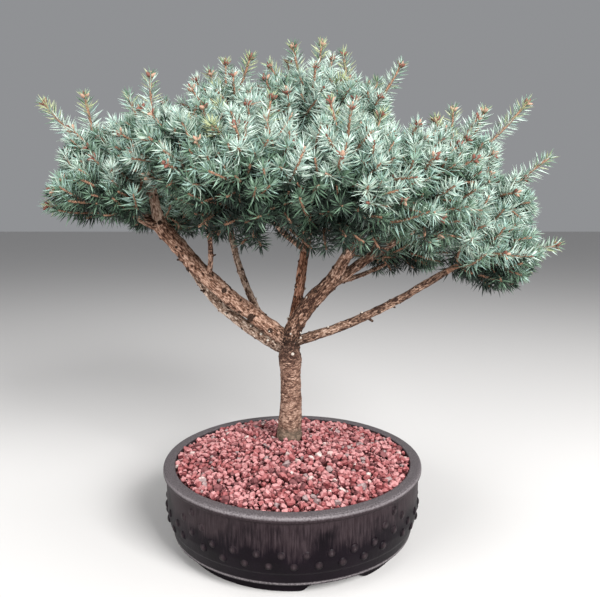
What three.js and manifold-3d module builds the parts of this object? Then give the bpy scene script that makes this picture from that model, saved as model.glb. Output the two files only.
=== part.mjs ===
// A Serbian spruce bonsai in its round drum planter, in millimetres with +Z up.
// It is laid out about the planter's axis, standing on z = 0 with the viewer on the -Y side,
// and is centred on its own box at the end.
import * as THREE from "three";
import { mergeVertices } from "three/addons/utils/BufferGeometryUtils.js";
import Module from "manifold-3d";

const wasm = await Module();
wasm.setup();

// Clearance that touching pieces keep
const GAP = 0.3;

// Planter: a glazed stoneware drum on a ring foot that four arches divide into feet
const POT = {
  height: 78,
  rimRadius: 130,
  rimDepth: 6,
  rimRound: 2,
  mouthRadius: 116,
  wallRadius: 127,
  turnHeight: 36,
  grooveRadius: 124.8,
  grooveHeight: 25,
  grooveDepth: 1,
  ridgeRadius: 121.5,
  ridgeHeight: 13.5,
  ridgeThickness: 2.4,
  footRadius: 111,
  footWidth: 16,
  footHeight: 11,
  undersideHeight: 6,
  floorHeight: 14,
  floorRadius: 104,
  sides: 44,
};
const FOOT_ARCHES = 4;
const FOOT_ARCH_ANGLE = THREE.MathUtils.degToRad(28);
const FOOT_ARCH_TURN = THREE.MathUtils.degToRad(21);
const FOOT_ARCH_SWEEP = 8;

// Studs: two rows of nail heads, placed by the pitch between nails, that climb to a peak
// at each of four corners
const STUD = { radius: 3.8, rise: 2.4, sink: 2.2, sides: 5, pitch: THREE.MathUtils.degToRad(9.55) };
const STUD_LOBES = 4;
const STUD_ROWS = [
  { height: 41, places: [0.5, 1.5, 2.5, 3.5, 4.1, 4.712], lift: [0, 0, 0, 0, 11, 20] },
  { height: 30.5, places: [0, 1, 2, 3, 4, 4.712], lift: [0, 0, 0, 0, 3, 12] },
];

// Gravel bed: crushed lava heaped a little towards the trunk, with its larger stones standing proud
const BED = { edgeHeight: 75, crownHeight: 87, rings: 9, stoneRise: [2.2, 3.4] };

// Trunk: from a flat cut in the gravel to the knuckle where the boughs part
const TRUNK = {
  foot: [-4, 32, 85],
  head: [-4, 32, 192],
  sway: [4, 0, 0],
  radii: [13.6, 12.2, 11.8, 11.5, 11.1, 10.6, 10.4, 11.2, 12.4, 11.2, 9],
  sides: 12,
};

// Boughs: each leaves its parent at a fraction of the parent's length and runs to its tip along
// a curve drawn aside by its bow; its girth falls from the first radius to the second
const LIMB_SIDES = 7;
const LIMB_STEPS = 6;
const LIMBS = {
  left_main: { from: "trunk", at: 1, tip: [-132, 8, 314], bow: [-4, 0, -16], radii: [7.6, 6] },
  right_main: { from: "trunk", at: 1, tip: [42, 11, 259], bow: [-11, 0, 0], radii: [7.4, 6.4] },
  left_low: { from: "trunk", at: 0.9, tip: [-138, 108, 292], bow: [-7, -30, -27], radii: [5.6, 3.6] },
  right_low: { from: "trunk", at: 0.97, tip: [150, -8, 268], bow: [6, 0, -11], radii: [4.6, 3] },
  centre: { from: "trunk", at: 1, tip: [22, 68, 372], bow: [8, 8, 0], radii: [5.2, 3.4] },
  left_rise: { from: "left_main", at: 0.97, tip: [-137, 4, 366], bow: [-6, 0, 0], radii: [5, 3.4] },
  left_outer: { from: "left_main", at: 0.93, tip: [-178, 26, 352], bow: [0, 6, -6], radii: [4.2, 2.8] },
  left_side: { from: "left_main", at: 0.98, tip: [-166, -8, 332], bow: [0, -2, -4], radii: [4.2, 2.8] },
  left_front: { from: "left_main", at: 0.62, tip: [-76, -44, 314], bow: [6, 0, 4], radii: [2.6, 2] },
  left_inner: { from: "left_main", at: 0.2, tip: [-74, 78, 390], bow: [-26, 26, -10], radii: [3.8, 2.6] },
  back_left: { from: "left_inner", at: 0.5, tip: [-88, 112, 350], bow: [0, 0, -8], radii: [2.8, 2.2] },
  centre_right: { from: "centre", at: 0.62, tip: [64, 54, 378], bow: [8, 0, -8], radii: [3.2, 2.4] },
  centre_front: { from: "centre", at: 0.52, tip: [-26, -36, 326], bow: [0, 0, -4], radii: [3.2, 2.4] },
  centre_back: { from: "centre", at: 0.56, tip: [14, 116, 348], bow: [0, 6, -6], radii: [3.2, 2.4] },
  right_upper: { from: "right_main", at: 0.98, tip: [66, -40, 312], bow: [3, 4, 4], radii: [5.4, 3.6] },
  right_outer: { from: "right_main", at: 0.85, tip: [150, 31, 330], bow: [0, 0, -2], radii: [5.2, 3.6] },
  right_inner: { from: "right_upper", at: 0.6, tip: [98, -40, 322], bow: [4, 0, -4], radii: [3.4, 2.4] },
  right_far: { from: "right_outer", at: 0.78, tip: [190, 26, 342], bow: [6, 0, -4], radii: [3.4, 2.4] },
  right_back: { from: "right_main", at: 0.93, tip: [100, 86, 266], bow: [0, 0, -6], radii: [2.8, 2] },
  back_right: { from: "right_outer", at: 0.42, tip: [106, 102, 346], bow: [0, 0, -8], radii: [3.2, 2.2] },
};

// Foliage: each mass of needles fills an egg-shaped space at the tip of one bough
const MASSES = {
  left_tip: { bough: "left_outer", heart: [-201, 30, 376], reach: [38, 56, 41] },
  left_low: { bough: "left_side", heart: [-174, -20, 340], reach: [62, 60, 36] },
  left_top: { bough: "left_rise", heart: [-134, 16, 394], reach: [54, 58, 41] },
  left_front: { bough: "left_front", heart: [-92, -60, 374], reach: [56, 60, 42] },
  left_back: { bough: "left_low", heart: [-146, 112, 338], reach: [78, 70, 48] },
  upper_left: { bough: "left_inner", heart: [-67, 44, 421], reach: [60, 74, 47] },
  top: { bough: "centre", heart: [16, 34, 431], reach: [58, 76, 49] },
  upper_right: { bough: "centre_right", heart: [66, 36, 418], reach: [42, 74, 42] },
  front_left: { bough: "centre_front", heart: [-38, -66, 350], reach: [65, 66, 64] },
  front_right: { bough: "right_upper", heart: [42, -70, 346], reach: [64, 66, 66] },
  right_inner: { bough: "right_inner", heart: [118, -46, 345], reach: [60, 66, 60] },
  right_top: { bough: "right_outer", heart: [164, 42, 380], reach: [55, 64, 43] },
  right_tip: { bough: "right_far", heart: [208, 36, 334], reach: [46, 60, 38] },
  right_low: { bough: "right_low", heart: [192, -4, 284], reach: [57, 66, 44] },
  right_under: { bough: "right_back", heart: [124, 112, 286], reach: [62, 64, 43] },
  back_left: { bough: "back_left", heart: [-88, 138, 372], reach: [74, 66, 78] },
  back: { bough: "centre_back", heart: [12, 148, 370], reach: [66, 64, 82] },
  back_right: { bough: "back_right", heart: [114, 134, 366], reach: [68, 64, 56] },
};

// Leaders: the strongest shoots of a mass, which run straight out of its egg to these points
const LEADERS = {
  left_tip: [[-254, 30, 441], [-200, 8, 446]],
  left_low: [[-246, 0, 329]],
  left_top: [[-168, 30, 449], [-138, 18, 467]],
  left_back: [[-224, 168, 374]],
  upper_left: [[-84, 24, 470], [-67, 40, 484], [-40, 62, 493]],
  top: [[-30, 40, 478], [-2, 36, 498], [32, 52, 504]],
  upper_right: [[50, 60, 496], [90, 36, 464], [116, 44, 480]],
  front_left: [[-64, -64, 424], [-14, -58, 432]],
  front_right: [[32, -62, 428], [82, -62, 416]],
  right_top: [[137, 20, 424], [165, 50, 440], [198, 30, 434], [246, 40, 441]],
  right_tip: [[263, 20, 386], [250, 60, 346]],
  right_low: [[269, 0, 295], [236, -20, 269]],
  back_left: [[-126, 194, 446]],
  back: [[14, 208, 456]],
  back_right: [[158, 190, 436]],
};
const CROWN_HEART = new THREE.Vector3(10, 45, 360);

// Twigs of a mass: stiff shoots set round the stem by the golden angle, bare below, then
// bristling with forward-leaning needles larger than life
const TWIG = {
  count: 14,
  spread: THREE.MathUtils.degToRad(125),
  reach: [0.88, 1],
  upright: 0.3,
  past: 1.4,
  spring: 0.2,
  leaderSpring: 0.06,
  sag: 0.5,
  rings: [0.42, 0.72, 1],
  radii: [1.8, 1.7, 1.2],
  needleLength: 20,
  needleLean: THREE.MathUtils.degToRad(50),
  needlePast: 0.75,
};
const STEM = { sides: 6, steps: 5, tipRadius: 2.2, bend: 0.4, lowestTwig: 0.3, twigDrift: 30 };
const TWIG_TRIES = { shrink: [1, 0.92, 0.84, 0.76, 0.68, 0.6, 0.52], rolls: [0, 40, 80] };
const TOUCH_VOLUME = 1e-3;
const GOLDEN_ANGLE = Math.PI * (3 - Math.sqrt(5));

const COLOURS = {
  pot: 0x2f282b,
  gravel: 0xa8605c,
  trunk: 0x8d7354,
  bough: 0x97795a,
  needles: 0x6f938a,
};
const ROUGHNESS = { pot: 0.4, gravel: 0.95, trunk: 0.9, bough: 0.85, needles: 0.6 };

const up = new THREE.Vector3(0, 0, 1);
const vector = (list) => new THREE.Vector3(...list);

// A closed geometry as a solid that can be joined and cut
function solidOf(geometry) {
  geometry.deleteAttribute("normal");
  geometry.deleteAttribute("uv");
  const merged = mergeVertices(geometry, 1e-4);
  return new wasm.Manifold(new wasm.Mesh({
    numProp: 3,
    vertProperties: new Float32Array(merged.attributes.position.array),
    triVerts: new Uint32Array(merged.index.array),
  }));
}

// The largest body of a solid: loose scraps go, and hollows that joining sealed are filled
function mainBody(solid) {
  return solid.decompose().reduce((best, body) => (body.volume() > best.volume() ? body : best));
}

function geometryOf(solid) {
  const mesh = solid.getMesh();
  const geometry = new THREE.BufferGeometry();
  geometry.setAttribute("position", new THREE.BufferAttribute(new Float32Array(mesh.vertProperties), 3));
  geometry.setIndex(new THREE.BufferAttribute(new Uint32Array(mesh.triVerts), 1));
  geometry.computeVertexNormals();
  return geometry;
}

// Seeded chance from 0 to 1 for one twig of one mass: the fine digits of a steep sine wave
function chance(mass, twig) {
  const wave = 43758.5453 * Math.sin(127.1 * mass + 311.7 * twig);
  return wave - Math.floor(wave);
}

// A quadratic curve between two points whose control point stands off their middle by a bow
function bowedCurve(start, end, bow) {
  const control = start.clone().lerp(end, 0.5).add(bow);
  return new THREE.QuadraticBezierCurve3(start, control, end);
}

// A round bar bent along a curve: ring by ring its radius follows radiusAt, and grow thickens
// and lengthens it all round
function bentBar(curve, radiusAt, sides, steps, grow = 0) {
  const bar = new THREE.CylinderGeometry(1, 1, 1, sides, steps);
  const frames = curve.computeFrenetFrames(steps, false);
  const places = bar.attributes.position;
  for (let i = 0; i < places.count; i++) {
    const along = places.getY(i) + 0.5;
    const ring = Math.round(along * steps);
    const radius = radiusAt(along) + grow;
    const place = curve.getPoint(along);
    place.addScaledVector(frames.normals[ring], places.getX(i) * radius);
    place.addScaledVector(frames.binormals[ring], -places.getZ(i) * radius);
    const past = ring === 0 ? -grow : ring === steps ? grow : 0;
    place.addScaledVector(frames.tangents[ring], past);
    places.setXYZ(i, place.x, place.y, place.z);
  }
  return bar;
}

// Planter

function potProfile() {
  const p = POT;
  const footInner = p.footRadius - p.footWidth;
  const ridgeFoot = p.ridgeHeight - p.ridgeThickness / 2;
  const ridgeTop = p.ridgeHeight + p.ridgeThickness / 2;
  const grooveInner = p.grooveRadius - p.grooveDepth;
  const rimFoot = p.height - p.rimDepth;
  const rimShoulder = p.height - p.rimRound;
  const foot = [[0, p.undersideHeight], [footInner, p.undersideHeight], [footInner, 0], [p.footRadius, 0]];
  const ridge = [[p.footRadius, p.footHeight], [p.ridgeRadius, ridgeFoot], [p.ridgeRadius, ridgeTop]];
  const groove = [[grooveInner, p.grooveHeight - p.grooveDepth], [p.grooveRadius, p.grooveHeight]];
  const wall = [[p.wallRadius, p.turnHeight], [p.wallRadius, rimFoot - p.rimRound]];
  const rim = [[p.rimRadius, rimFoot], [p.rimRadius, rimShoulder], [p.rimRadius - p.rimRound, p.height]];
  const bowl = [[p.mouthRadius, p.height], [p.floorRadius, p.floorHeight], [0, p.floorHeight]];
  const outline = [...foot, ...ridge, ...groove, ...wall, ...rim, ...bowl];
  return outline.map(([r, z]) => new THREE.Vector2(r, z));
}

// A lathe turns about Y, so the profile is tipped up onto Z
const turned = (profile, sides) => new THREE.LatheGeometry(profile, sides).rotateX(Math.PI / 2);

function wallRadiusAt(z) {
  const { grooveHeight, turnHeight, grooveRadius, wallRadius } = POT;
  const drawnIn = THREE.MathUtils.mapLinear(z, grooveHeight, turnHeight, grooveRadius, wallRadius);
  return Math.min(wallRadius, drawnIn);
}

function stud(angle, z) {
  const cone = new THREE.ConeGeometry(STUD.radius, STUD.rise + STUD.sink, STUD.sides);
  cone.rotateZ(-Math.PI / 2);
  cone.translate(wallRadiusAt(z) + (STUD.rise - STUD.sink) / 2, 0, z);
  cone.rotateZ(angle);
  return solidOf(cone);
}

// One quarter's nails stand in mirrored pairs, with single ones on its middle and at its peak
function studs() {
  const all = [];
  for (let lobe = 0; lobe < STUD_LOBES; lobe++) {
    const middle = -Math.PI / 2 + (lobe * 2 * Math.PI) / STUD_LOBES;
    for (const { height, places, lift } of STUD_ROWS) {
      places.forEach((place, i) => {
        const single = place === 0 || i === places.length - 1;
        for (const side of single ? [1] : [1, -1]) {
          all.push(stud(middle + side * place * STUD.pitch, height + lift[i]));
        }
      });
    }
  }
  return all;
}

function footArch(index) {
  const inner = POT.footRadius - POT.footWidth - FOOT_ARCH_SWEEP;
  const outer = POT.footRadius + FOOT_ARCH_SWEEP;
  const arch = new THREE.Shape();
  arch.absarc(0, 0, outer, -FOOT_ARCH_ANGLE / 2, FOOT_ARCH_ANGLE / 2, false);
  arch.absarc(0, 0, inner, FOOT_ARCH_ANGLE / 2, -FOOT_ARCH_ANGLE / 2, true);
  const cutter = new THREE.ExtrudeGeometry(arch, {
    depth: 2 * POT.undersideHeight,
    bevelEnabled: false,
    curveSegments: 3,
  });
  cutter.translate(0, 0, -POT.undersideHeight);
  cutter.rotateZ(-Math.PI / 2 + FOOT_ARCH_TURN + (index * 2 * Math.PI) / FOOT_ARCHES);
  return solidOf(cutter);
}

function makePot() {
  let pot = solidOf(turned(potProfile(), POT.sides));
  for (let i = 0; i < FOOT_ARCHES; i++) pot = pot.subtract(footArch(i));
  return mainBody(wasm.Manifold.union([pot, ...studs()]));
}

// Trunk and boughs

const trunkCurve = bowedCurve(vector(TRUNK.foot), vector(TRUNK.head), vector(TRUNK.sway));

function trunkRadius(along) {
  const last = TRUNK.radii.length - 1;
  const step = Math.min(Math.floor(along * last), last - 1);
  return THREE.MathUtils.lerp(TRUNK.radii[step], TRUNK.radii[step + 1], along * last - step);
}

function trunkBar(grow) {
  return solidOf(bentBar(trunkCurve, trunkRadius, TRUNK.sides, TRUNK.radii.length - 1, grow));
}

const limbCurves = { trunk: trunkCurve };
const grownLimbs = [trunkBar(GAP)];

// A bough is cut clear of the trunk and of the boughs before it
function makeLimb(name) {
  const { from, at, tip, bow, radii } = LIMBS[name];
  const curve = bowedCurve(limbCurves[from].getPoint(at), vector(tip), vector(bow));
  const radiusAt = (along) => THREE.MathUtils.lerp(radii[0], radii[1], along);
  const bar = (grow) => solidOf(bentBar(curve, radiusAt, LIMB_SIDES, LIMB_STEPS, grow));
  const limb = mainBody(bar(0).subtract(wasm.Manifold.union(grownLimbs)));
  limbCurves[name] = curve;
  grownLimbs.push(bar(GAP));
  return limb;
}

function bowlRadius(z) {
  const slope = (POT.mouthRadius - POT.floorRadius) / (POT.height - POT.floorHeight);
  return POT.floorRadius + slope * (z - POT.floorHeight) - 2 * GAP;
}

// Point of the gravel's top: ring by ring there are six points more, and every third point
// inside the edge is the tip of a stone
function bedPoint(ring, step) {
  const out = ring / BED.rings;
  const point = step % Math.max(1, 6 * ring);
  const turn = (2 * Math.PI * point) / Math.max(1, 6 * ring);
  const heap = THREE.MathUtils.lerp(BED.edgeHeight, BED.crownHeight, Math.cos((out * Math.PI) / 2));
  const isStone = ring < BED.rings && (ring + (point % Math.max(1, ring))) % 3 === 0;
  const rise = isStone ? THREE.MathUtils.lerp(...BED.stoneRise, chance(ring, point)) : 0;
  const radius = bowlRadius(BED.edgeHeight) * out;
  return new THREE.Vector3(radius * Math.cos(turn), radius * Math.sin(turn), heap + rise);
}

// The bed fills the planter's bowl, and the trunk's foot is let into it
function makeGravel() {
  const faces = [];
  for (let ring = 1; ring <= BED.rings; ring++) {
    for (let step = 0; step < 6 * ring; step++) {
      const inner = bedPoint(ring - 1, step - Math.floor(step / ring));
      const next = bedPoint(ring - 1, step - Math.floor(step / ring) + 1);
      const [outer, beside] = [bedPoint(ring, step), bedPoint(ring, step + 1)];
      faces.push([inner, outer, beside]);
      if (step % ring < ring - 1) faces.push([inner, beside, next]);
    }
  }
  const bottom = POT.floorHeight + GAP;
  const narrowing = bowlRadius(bottom) / bowlRadius(BED.edgeHeight);
  const floorPoint = (corner) => new THREE.Vector3(corner.x * narrowing, corner.y * narrowing, bottom);
  for (let step = 0; step < 6 * BED.rings; step++) {
    const [left, right] = [bedPoint(BED.rings, step), bedPoint(BED.rings, step + 1)];
    const [leftFoot, rightFoot] = [floorPoint(left), floorPoint(right)];
    faces.push([leftFoot, rightFoot, right], [leftFoot, right, left]);
    faces.push([new THREE.Vector3(0, 0, bottom), rightFoot, leftFoot]);
  }
  return mainBody(solidOf(geometryOfFaces(faces)).subtract(trunkBar(GAP)));
}

// Foliage

// Each mass keeps to its egg, its leaders aside, and to its own side of the planes between it
// and its neighbours
const spaces = Object.values(MASSES).map(({ heart, reach }) => ({
  heart: vector(heart),
  reach: vector(reach),
  weight: (reach[0] ** 2 + reach[1] ** 2 + reach[2] ** 2) / 3,
}));

function insideSpace(point, index, eggs) {
  const own = spaces[index];
  const egg = point.clone().sub(own.heart).divide(own.reach).length();
  if (egg > eggs) return false;
  const ownPower = point.distanceToSquared(own.heart) - own.weight;
  return spaces.every((other, i) => {
    if (i === index) return true;
    const power = point.distanceToSquared(other.heart) - other.weight;
    const margin = 2 * GAP * own.heart.distanceTo(other.heart);
    return ownPower + margin < power;
  });
}

// Way from the heart of a mass in which a twig's tip lies: an even spiral over a cap that
// faces away from the heart of the crown
function twigWay(outward, twig) {
  const fall = THREE.MathUtils.lerp(1, Math.cos(TWIG.spread), (twig + 0.5) / TWIG.count);
  const across = Math.sqrt(1 - fall * fall);
  const turn = twig * GOLDEN_ANGLE;
  const way = new THREE.Vector3(across * Math.cos(turn), across * Math.sin(turn), fall);
  return way.applyQuaternion(new THREE.Quaternion().setFromUnitVectors(up, outward));
}

const centroid = (corners) => corners.reduce((sum, c) => sum.add(c), new THREE.Vector3()).divideScalar(3);
const faceNormal = (corners) => new THREE.Triangle(...corners).getNormal(new THREE.Vector3());

// A three-sided twig lofted from a root triangle along a curve: its faces past the first ring
// and at its tip each rise to a needle that leans forward
function loftTwig(root, curve, roll) {
  const faces = [];
  const raise = (corners, forward) => {
    const lean = faceNormal(corners).multiplyScalar(Math.sin(TWIG.needleLean));
    lean.addScaledVector(forward, Math.cos(TWIG.needleLean)).normalize();
    const point = centroid(corners).addScaledVector(lean, TWIG.needleLength);
    corners.forEach((corner, i) => faces.push([corner, corners[(i + 1) % 3], point]));
  };
  let below = root;
  TWIG.rings.forEach((along, ring) => {
    const centre = curve.getPoint(along);
    const forward = curve.getTangent(along);
    const side = below[0].clone().sub(centroid(below)).projectOnPlane(forward).normalize();
    const turn = ring === 0 ? roll : 0;
    const above = below.map((_, i) => {
      const spoke = side.clone().applyAxisAngle(forward, turn + (i * 2 * Math.PI) / 3);
      return centre.clone().addScaledVector(spoke, TWIG.radii[ring]);
    });
    below.forEach((corner, i) => {
      const next = (i + 1) % 3;
      const pair = [[corner, below[next], above[next]], [corner, above[next], above[i]]];
      if (ring === 0) faces.push(...pair);
      else pair.forEach((corners) => raise(corners, forward));
    });
    below = above;
  });
  raise(below, curve.getTangent(1));
  return faces;
}

function geometryOfFaces(faces) {
  const points = faces.flat().flatMap((corner) => corner.toArray());
  const geometry = new THREE.BufferGeometry();
  geometry.setAttribute("position", new THREE.Float32BufferAttribute(points, 3));
  return geometry;
}

function facesOf(geometry) {
  const places = geometry.toNonIndexed().attributes.position;
  const corner = (i) => new THREE.Vector3().fromBufferAttribute(places, i);
  return Array.from({ length: places.count / 3 }, (_, f) => [3 * f, 3 * f + 1, 3 * f + 2].map(corner));
}

// Picks the free face of a stem that looks the way of a twig, near the twig's place along it
function rootFace(free, stem, way, along) {
  const place = stem.getPoint(along);
  const drift = (corners) => centroid(corners).distanceTo(place) / STEM.twigDrift;
  const score = (corners) => faceNormal(corners).dot(way) - drift(corners);
  return free.reduce((best, corners) => (score(corners) > score(best) ? corners : best));
}

// Tips to try for a twig, ever nearer to the heart of its mass: they lie on the twig's way and stop
// short of the egg's skin by the needles that stand past them, and upright twigs are longer
function twigTips(index, twig, way) {
  const { heart, reach } = spaces[index];
  const upright = 1 + TWIG.upright * Math.max(0, way.z) ** 2;
  const length = upright * THREE.MathUtils.lerp(...TWIG.reach, chance(index, twig));
  return TWIG_TRIES.shrink.map((shrink) => {
    const tip = way.clone().multiply(reach).multiplyScalar(shrink * length);
    return tip.addScaledVector(way, -TWIG.needlePast * TWIG.needleLength).add(heart);
  });
}

function leaderTips(index, point, way) {
  const tip = point.clone().addScaledVector(way, -TWIG.needleLength);
  return TWIG_TRIES.shrink.map((shrink) => spaces[index].heart.clone().lerp(tip, shrink));
}

// A twig springs square from the stem, sags by half as much and turns up to its tip
function twigCurve(root, tip, spring) {
  const foot = centroid(root);
  const span = foot.distanceTo(tip);
  const bow = faceNormal(root).addScaledVector(up, -TWIG.sag).multiplyScalar(spring * span);
  return bowedCurve(foot, tip, bow);
}

// First twig of a few tips and turns that keeps to the mass's space and touches nothing
function fitTwig(root, index, { tips, spring, eggs }, placed, limbs) {
  const keeps = (corner) => root.includes(corner) || insideSpace(corner, index, eggs);
  for (const tip of tips) {
    const curve = twigCurve(root, tip, spring);
    for (const roll of TWIG_TRIES.rolls) {
      const faces = loftTwig(root, curve, THREE.MathUtils.degToRad(roll));
      if (!faces.flat().every(keeps)) continue;
      const solid = solidOf(geometryOfFaces([...faces, [...root].reverse()]));
      const touches = placed.some((other) => solid.intersect(other).volume() > TOUCH_VOLUME);
      if (!touches && solid.intersect(limbs).isEmpty()) return { faces, solid };
    }
  }
  return null;
}

// A mass is one skin: a stem that carries on from its bough's tip, with each twig grown out of
// one of the stem's faces
function makeMass(name, index, limbs) {
  const { bough } = MASSES[name];
  const { heart } = spaces[index];
  const tangent = limbCurves[bough].getTangent(1);
  const start = limbCurves[bough].getPoint(1).addScaledVector(tangent, GAP);
  const bend = start.clone().addScaledVector(tangent, STEM.bend * start.distanceTo(heart));
  const stem = new THREE.QuadraticBezierCurve3(start, bend, heart);
  const stemRadius = (along) => THREE.MathUtils.lerp(LIMBS[bough].radii[1], STEM.tipRadius, along);
  const stemBar = bentBar(stem, stemRadius, STEM.sides, STEM.steps);
  const twiggedLength = stem.getPoint(STEM.lowestTwig).distanceTo(heart);
  const outward = heart.clone().sub(CROWN_HEART).normalize();
  let faces = facesOf(stemBar);
  const free = faces.filter((corners) => centroid(corners).distanceTo(heart) < twiggedLength);
  const placed = [solidOf(stemBar)];
  const grow = (way, along, plan) => {
    const root = rootFace(free, stem, way, along);
    const fitted = fitTwig(root, index, plan, placed, limbs);
    if (!fitted) return;
    placed.push(fitted.solid);
    free.splice(free.indexOf(root), 1);
    faces = [...faces.filter((corners) => corners !== root), ...fitted.faces];
  };
  for (const point of (LEADERS[name] ?? []).map(vector)) {
    const way = point.clone().sub(heart).normalize();
    grow(way, 1, { tips: leaderTips(index, point, way), spring: TWIG.leaderSpring, eggs: Infinity });
  }
  for (let twig = 0; twig < TWIG.count; twig++) {
    const way = twigWay(outward, twig);
    const along = THREE.MathUtils.lerp(1, STEM.lowestTwig, twig / (TWIG.count - 1));
    grow(way, along, { tips: twigTips(index, twig, way), spring: TWIG.spring, eggs: TWIG.past });
  }
  return solidOf(geometryOfFaces(faces));
}

// Assembly

const tree = new THREE.Group();

function place(name, solid, colour, roughness) {
  const material = new THREE.MeshStandardMaterial({ color: colour, roughness, metalness: 0 });
  const mesh = new THREE.Mesh(geometryOf(solid), material);
  mesh.name = name;
  tree.add(mesh);
}

place("pot", makePot(), COLOURS.pot, ROUGHNESS.pot);
place("gravel", makeGravel(), COLOURS.gravel, ROUGHNESS.gravel);
place("trunk", trunkBar(0), COLOURS.trunk, ROUGHNESS.trunk);
for (const name of Object.keys(LIMBS)) {
  place(`bough_${name}`, makeLimb(name), COLOURS.bough, ROUGHNESS.bough);
}
const limbs = wasm.Manifold.union(grownLimbs);
Object.keys(MASSES).forEach((name, index) => {
  place(`needles_${name}`, makeMass(name, index, limbs), COLOURS.needles, ROUGHNESS.needles);
});

// Origin: the middle of the whole box's underside
const box = new THREE.Box3().setFromObject(tree);
const middle = box.getCenter(new THREE.Vector3());
tree.position.set(-middle.x, -middle.y, -box.min.z);
tree.updateMatrixWorld(true);

export default tree;
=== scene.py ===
import math

import bpy
import numpy as np
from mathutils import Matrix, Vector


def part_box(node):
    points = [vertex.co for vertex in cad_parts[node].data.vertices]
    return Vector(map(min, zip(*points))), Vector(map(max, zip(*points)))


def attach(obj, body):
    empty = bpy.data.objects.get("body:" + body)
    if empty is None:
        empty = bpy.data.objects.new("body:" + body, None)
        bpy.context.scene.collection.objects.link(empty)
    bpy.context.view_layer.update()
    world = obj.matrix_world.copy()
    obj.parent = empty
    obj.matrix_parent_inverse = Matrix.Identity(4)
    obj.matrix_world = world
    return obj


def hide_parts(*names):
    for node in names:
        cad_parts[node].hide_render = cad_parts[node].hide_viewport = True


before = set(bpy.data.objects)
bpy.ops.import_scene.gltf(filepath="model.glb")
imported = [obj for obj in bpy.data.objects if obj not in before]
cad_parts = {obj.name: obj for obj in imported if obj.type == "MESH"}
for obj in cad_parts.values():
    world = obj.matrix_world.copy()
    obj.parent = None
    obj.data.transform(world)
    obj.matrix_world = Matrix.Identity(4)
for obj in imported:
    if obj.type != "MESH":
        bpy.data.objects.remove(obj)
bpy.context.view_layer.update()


# Studio: a plain pale table top under soft daylight from the front right, with the eye where the
# tree was seen from, a little above the middle of the crown.

def linear(code):
    """Linear colour of an sRGB hex code: each channel c becomes c / 12.92 when dark, else
    ((c + 0.055) / 1.055) ^ 2.4."""
    c = np.array([int(code[i:i + 2], 16) for i in (1, 3, 5)]) / 255
    return (*np.where(c <= 0.04045, c / 12.92, ((c + 0.055) / 1.055) ** 2.4), 1.0)


def add_node(tree, kind, inputs={}, stops=(), **settings):
    """Adds one node: settings are its properties, stops fill a ramp, and an input takes a value or a linked
    socket."""
    made = tree.nodes.new("ShaderNode" + kind)
    for key, value in settings.items():
        setattr(made, key, value)
    for i, (spot, colour) in enumerate(stops):
        stop = made.color_ramp.elements[i] if i < 2 else made.color_ramp.elements.new(spot)
        stop.position, stop.color = spot, colour
    for key, value in inputs.items():
        if isinstance(value, bpy.types.NodeSocket):
            tree.links.new(value, made.inputs[key])
        else:
            made.inputs[key].default_value = value
    return made


def new_material(name, roughness, specular, code=None):
    """A material with its tree and its surface shader, in one plain colour if a code is given."""
    made = bpy.data.materials.new(name)
    made.use_nodes = True
    surface = made.node_tree.nodes["Principled BSDF"]
    surface.inputs["Roughness"].default_value = roughness
    surface.inputs["Specular IOR Level"].default_value = specular
    if code:
        surface.inputs["Base Color"].default_value = linear(code)
    return made, made.node_tree, surface


def new_piece(name, points, faces, material, smooth=True):
    """A mesh object at the origin from an array of points and a list of face arrays, each of one number of
    corners."""
    mesh = bpy.data.meshes.new(name)
    corners = np.concatenate([f.ravel() for f in faces])
    sizes = np.concatenate([np.full(len(f), f.shape[1]) for f in faces])
    mesh.vertices.add(len(points))
    mesh.vertices.foreach_set("co", np.ascontiguousarray(points, np.float32).ravel())
    mesh.loops.add(len(corners))
    mesh.loops.foreach_set("vertex_index", corners.astype(np.int32))
    mesh.polygons.add(len(sizes))
    mesh.polygons.foreach_set("loop_start", (np.cumsum(sizes) - sizes).astype(np.int32))
    mesh.polygons.foreach_set("use_smooth", np.full(len(sizes), smooth))
    mesh.update(calc_edges=True)
    mesh.materials.append(material)
    made = bpy.data.objects.new(name, mesh)
    bpy.context.scene.collection.objects.link(made)
    return made


table_half_m = 12.0
table_finish, tree, surface = new_material("pale_matt_table", 0.9, 0.2, "#d8d6d4")
table_corners = np.array([[-1, -1, 0], [1, -1, 0], [1, 1, 0], [-1, 1, 0]]) * table_half_m
table = new_piece("table", table_corners, [np.array([[0, 1, 2, 3]])], table_finish)

sky_strength = 0.36
sky = bpy.data.worlds.new("soft_sky")
sky.use_nodes = True
sky_inputs = sky.node_tree.nodes["Background"].inputs
sky_inputs["Color"].default_value = linear("#e4e6ea")
sky_inputs["Strength"].default_value = sky_strength
bpy.context.scene.world = sky
bpy.context.scene.view_settings.view_transform = "Standard"

lamp_target = np.array([0.0, 0.0, 0.3])
for name, place, side, watts in (
    ("window_light", (0.9, -1.3, 1.1), 0.8, 58.0),
    ("wall_bounce", (-1.2, -1.0, 0.7), 1.2, 20.0),
    ("ceiling_light", (0.0, 0.1, 1.9), 1.2, 11.0),
):
    lamp = bpy.data.lights.new(name, "AREA")
    lamp.size, lamp.energy = side, watts
    lamp_object = bpy.data.objects.new(name, lamp)
    lamp_object.location = place
    aim = lamp_target - np.array(place)
    tilt = math.atan2(math.hypot(aim[0], aim[1]), -aim[2])
    lamp_object.rotation_euler = (tilt, 0.0, math.atan2(aim[0], -aim[1]) + math.pi)
    bpy.context.scene.collection.objects.link(lamp_object)

pot_low, pot_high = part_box("pot")
pot_axis = np.array([(pot_low.x + pot_high.x) / 2, (pot_low.y + pot_high.y) / 2, 0.0])


def placed(mm):
    """Millimetres about the pot's axis as metres in the frame."""
    return np.asarray(mm, float) / 1000 + pot_axis


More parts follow.
